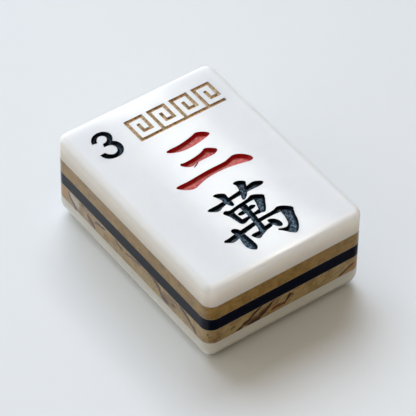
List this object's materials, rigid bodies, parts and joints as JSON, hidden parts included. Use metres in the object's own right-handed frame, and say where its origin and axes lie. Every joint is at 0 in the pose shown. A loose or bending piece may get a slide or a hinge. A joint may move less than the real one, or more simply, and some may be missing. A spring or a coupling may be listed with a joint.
{
  "type": "mahjong tile",
  "caption": "Rectangular game tile with rounded edges and corners, laminated from layers of resin, with a flat face to read and a flat back to rest on.",
  "frame": {"origin": "centre of the back, on the surface that the tile lies on", "axes": "+Y to the head of the face as it is read, +X to the reader's right, +Z out of the face"},
  "size_m": [0.0218, 0.03, 0.0121],
  "materials": {
    "face_resin": "polished, slightly translucent",
    "back_resin": "polished, slightly translucent",
    "tan_resin": "polished, finely speckled",
    "veined_resin": "polished, with brown diagonal veins",
    "stripe_resin": "polished",
    "cured_adhesive": "clear amber, cut flush with the sides",
    "red_enamel": "gloss enamel in the carved grooves",
    "dark_enamel": "gloss enamel in the carved grooves",
    "gold_enamel": "metallic enamel in the carved grooves"
  },
  "bodies": {
    "root": {"back_slab": "back_resin", "back_bond": "cured_adhesive", "veined_layer": "veined_resin", "lower_stripe_bond": "cured_adhesive", "stripe_layer": "stripe_resin", "upper_stripe_bond": "cured_adhesive", "tan_layer": "tan_resin", "face_bond": "cured_adhesive", "face_slab": "face_resin"}
  },
  "joints": []
}
